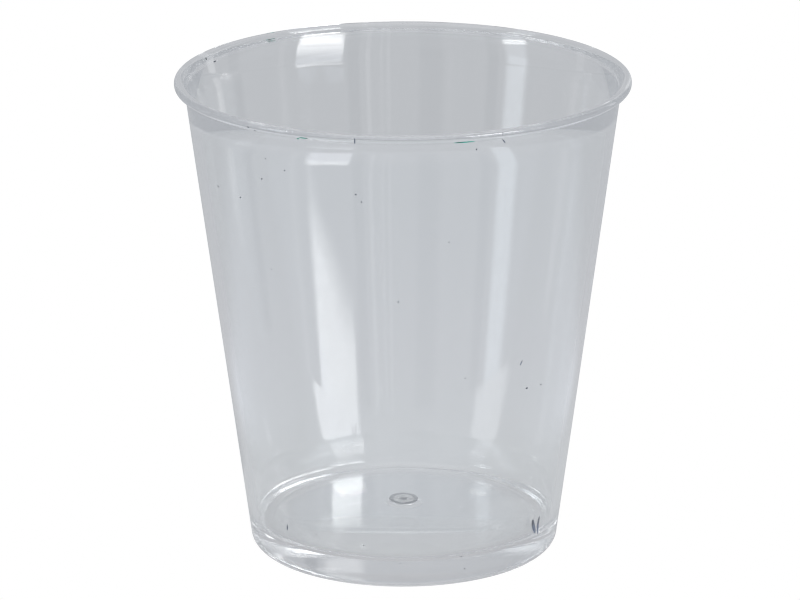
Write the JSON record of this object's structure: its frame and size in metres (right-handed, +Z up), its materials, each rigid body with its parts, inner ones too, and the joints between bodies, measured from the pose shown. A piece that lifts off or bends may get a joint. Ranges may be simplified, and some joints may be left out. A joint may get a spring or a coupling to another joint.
{
  "type": "shot glass",
  "caption": "Small clear plastic drinking cup with a tapered wall, a turned-out lip and a thick domed base.",
  "frame": {"origin": "centre of the flat ring that the cup stands on, at table level", "axes": "+Z up along the cup's axis, towards the mouth; the cup is round, so X and Y are free"},
  "size_m": [0.043, 0.043, 0.046],
  "materials": {
    "clear_plastic": "clear crystal polystyrene, polished mould, lightly handled"
  },
  "bodies": {
    "root": {"shot_glass": "clear_plastic"}
  },
  "joints": []
}
